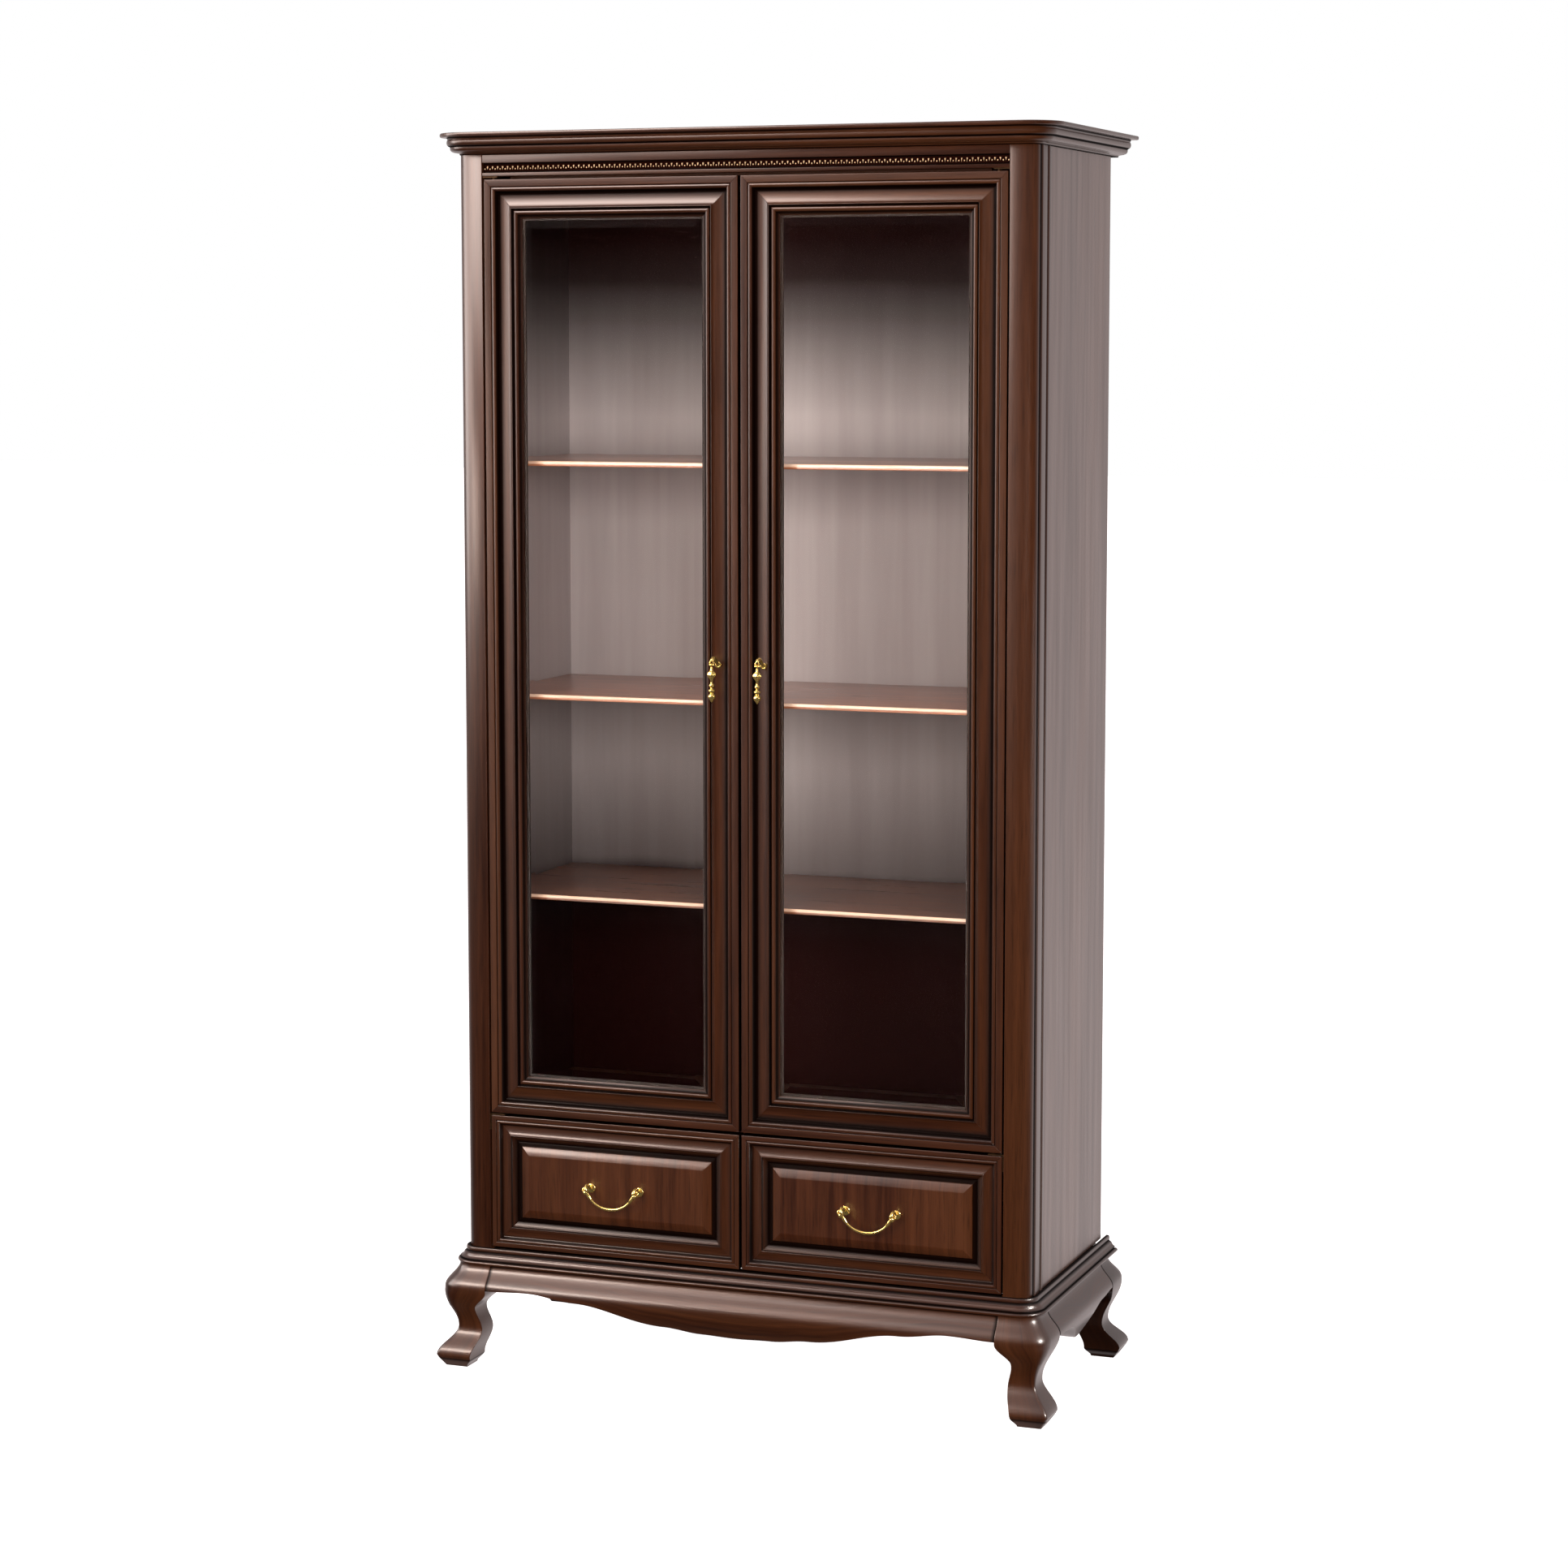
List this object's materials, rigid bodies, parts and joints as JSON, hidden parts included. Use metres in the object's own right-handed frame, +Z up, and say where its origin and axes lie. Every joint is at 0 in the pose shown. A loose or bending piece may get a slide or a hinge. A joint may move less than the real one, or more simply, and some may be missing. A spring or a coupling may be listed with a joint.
{
  "type": "china cabinet",
  "caption": "Tall wooden china cabinet: glazed double doors with moulded frames above a pair of drawers, carved frieze strip, crown moulding, lobed aprons and cabriole legs.",
  "frame": {"origin": "centre of the footprint at floor level", "axes": "+Z up, doors and drawers face -Y, +X to the viewer's right"},
  "size_m": [1.094, 0.52, 2.1],
  "materials": {
    "dark_wood": "dark walnut, semi-gloss lacquer",
    "inner_wood": "walnut veneer, satin",
    "gilt": "gilded carving",
    "brass": "antique brass, polished",
    "steel": "bright zinc",
    "glass": "clear, bevelled edge"
  },
  "bodies": {
    "cabinet": {"left_side_panel": "dark_wood", "right_side_panel": "dark_wood", "left_corner_post": "dark_wood", "right_corner_post": "dark_wood", "top_panel": "inner_wood", "deck_panel": "inner_wood", "bottom_panel": "inner_wood", "drawer_divider": "inner_wood", "back_panel": "inner_wood", "frieze_rail": "dark_wood", "carved_strip": "gilt", "door_stop_rail": "dark_wood", "cornice_moulding": "dark_wood", "cornice_top_board": "dark_wood", "base_moulding": "dark_wood", "front_apron": "dark_wood", "side_and_rear_aprons": "dark_wood", "front_left_leg": "dark_wood", "front_right_leg": "dark_wood", "back_left_leg": "dark_wood", "back_right_leg": "dark_wood", "upper_shelf": "dark_wood", "middle_shelf": "dark_wood", "lower_shelf": "dark_wood", "shelf_pins": "brass", "drawer_runners": "inner_wood", "door_pivots": "brass", "magnet_catches": "steel"},
    "left_door": {"left_door_hinge_stile": "dark_wood", "left_door_meeting_stile": "dark_wood", "left_door_top_rail": "dark_wood", "left_door_bottom_rail": "dark_wood", "left_door_glass": "glass", "left_door_glazing_beads": "dark_wood", "left_door_bushes": "brass", "left_door_strike": "steel", "left_pull_mount": "brass"},
    "left_pull": {"left_pull_drop": "brass"},
    "right_door": {"right_door_hinge_stile": "dark_wood", "right_door_meeting_stile": "dark_wood", "right_door_top_rail": "dark_wood", "right_door_bottom_rail": "dark_wood", "right_door_glass": "glass", "right_door_glazing_beads": "dark_wood", "right_door_bushes": "brass", "right_door_strike": "steel", "right_pull_mount": "brass"},
    "right_pull": {"right_pull_drop": "brass"},
    "left_drawer": {"left_drawer_front_frame": "dark_wood", "left_drawer_front_panel": "dark_wood", "left_drawer_sides": "inner_wood", "left_drawer_back": "inner_wood", "left_drawer_bottom": "inner_wood", "left_drawer_handle": "brass"},
    "right_drawer": {"right_drawer_front_frame": "dark_wood", "right_drawer_front_panel": "dark_wood", "right_drawer_sides": "inner_wood", "right_drawer_back": "inner_wood", "right_drawer_bottom": "inner_wood", "right_drawer_handle": "brass"}
  },
  "joints": [
    {"name": "left_door_hinge", "type": "hinge", "parent": "cabinet", "child": "left_door", "pos_m": [-0.44, -0.212, 0.44], "axis": [0, 0, -1], "range_deg": [0, 110]},
    {"name": "left_pull_swing", "type": "hinge", "parent": "left_door", "child": "left_pull", "pos_m": [-0.04, -0.242, 1.226], "axis": [-1, 0, 0], "range_deg": [-12, 60]},
    {"name": "left_drawer_slide", "type": "slide", "parent": "cabinet", "child": "left_drawer", "axis": [0, -1, 0], "range_m": [0, 0.28]},
    {"name": "right_door_hinge", "type": "hinge", "parent": "cabinet", "child": "right_door", "pos_m": [0.44, -0.212, 0.44], "axis": [0, 0, 1], "range_deg": [0, 110]},
    {"name": "right_pull_swing", "type": "hinge", "parent": "right_door", "child": "right_pull", "pos_m": [0.04, -0.242, 1.226], "axis": [-1, 0, 0], "range_deg": [-12, 60]},
    {"name": "right_drawer_slide", "type": "slide", "parent": "cabinet", "child": "right_drawer", "axis": [0, -1, 0], "range_m": [0, 0.28]}
  ]
}
